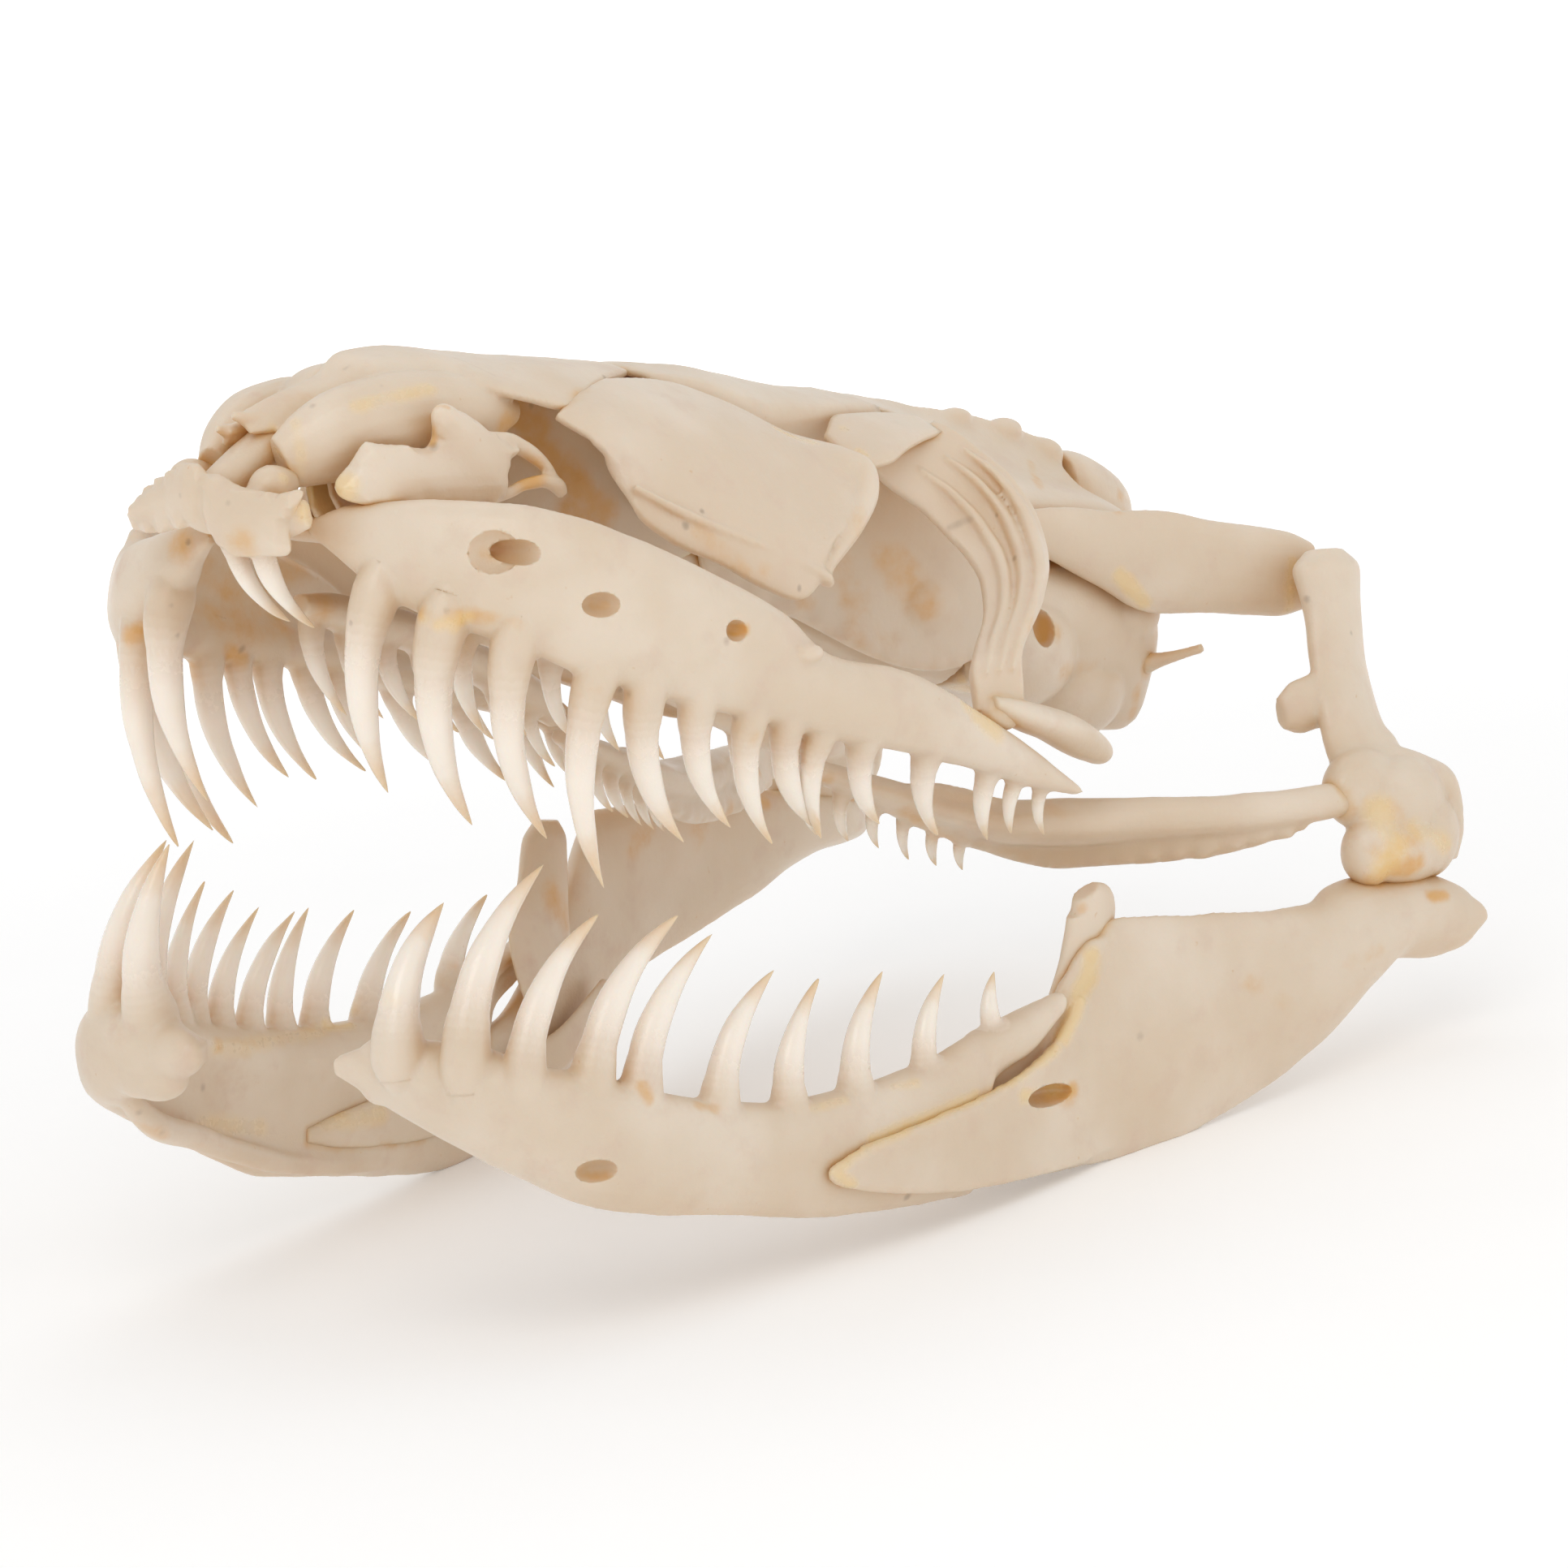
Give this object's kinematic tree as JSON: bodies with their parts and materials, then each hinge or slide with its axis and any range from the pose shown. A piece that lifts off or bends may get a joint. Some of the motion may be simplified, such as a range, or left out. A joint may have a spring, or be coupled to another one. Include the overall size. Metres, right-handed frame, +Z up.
{
  "type": "snake skull",
  "caption": "Cleaned and dried skull of a reticulated python with its jaws fixed open: thin paired bones and rows of backward-curved teeth, resting on its lower jaws.",
  "frame": {"origin": "the middle of the bounding box's underside, at the level of the surface that the two lower jaws rest on", "axes": "X: -X is the snout and +X the nape; Y: +Y is the animal's right side and -Y its left; Z: +Z is up, away from the surface that the lower jaws rest on"},
  "size_m": [0.1262, 0.0848, 0.0868],
  "materials": {
    "bone": "satin"
  },
  "bodies": {
    "root": {"premaxilla": "bone", "parietal": "bone", "otic_block": "bone", "braincase_floor": "bone", "angular_left": "bone", "angular_right": "bone", "compound_left": "bone", "compound_right": "bone", "coronoid_left": "bone", "coronoid_right": "bone", "dentary_left": "bone", "dentary_right": "bone", "ectopterygoid_left": "bone", "ectopterygoid_right": "bone", "frontal_left": "bone", "frontal_right": "bone", "maxilla_left": "bone", "maxilla_right": "bone", "nasal_left": "bone", "nasal_right": "bone", "palatine_left": "bone", "palatine_right": "bone", "postorbital_left": "bone", "postorbital_right": "bone", "prefrontal_left": "bone", "prefrontal_right": "bone", "pterygoid_left": "bone", "pterygoid_right": "bone", "quadrate_left": "bone", "quadrate_right": "bone", "septomaxilla_left": "bone", "septomaxilla_right": "bone", "splenial_left": "bone", "splenial_right": "bone", "stapes_left": "bone", "stapes_right": "bone", "supraorbital_left": "bone", "supraorbital_right": "bone", "supratemporal_left": "bone", "supratemporal_right": "bone", "vomer_left": "bone", "vomer_right": "bone"}
  },
  "joints": []
}
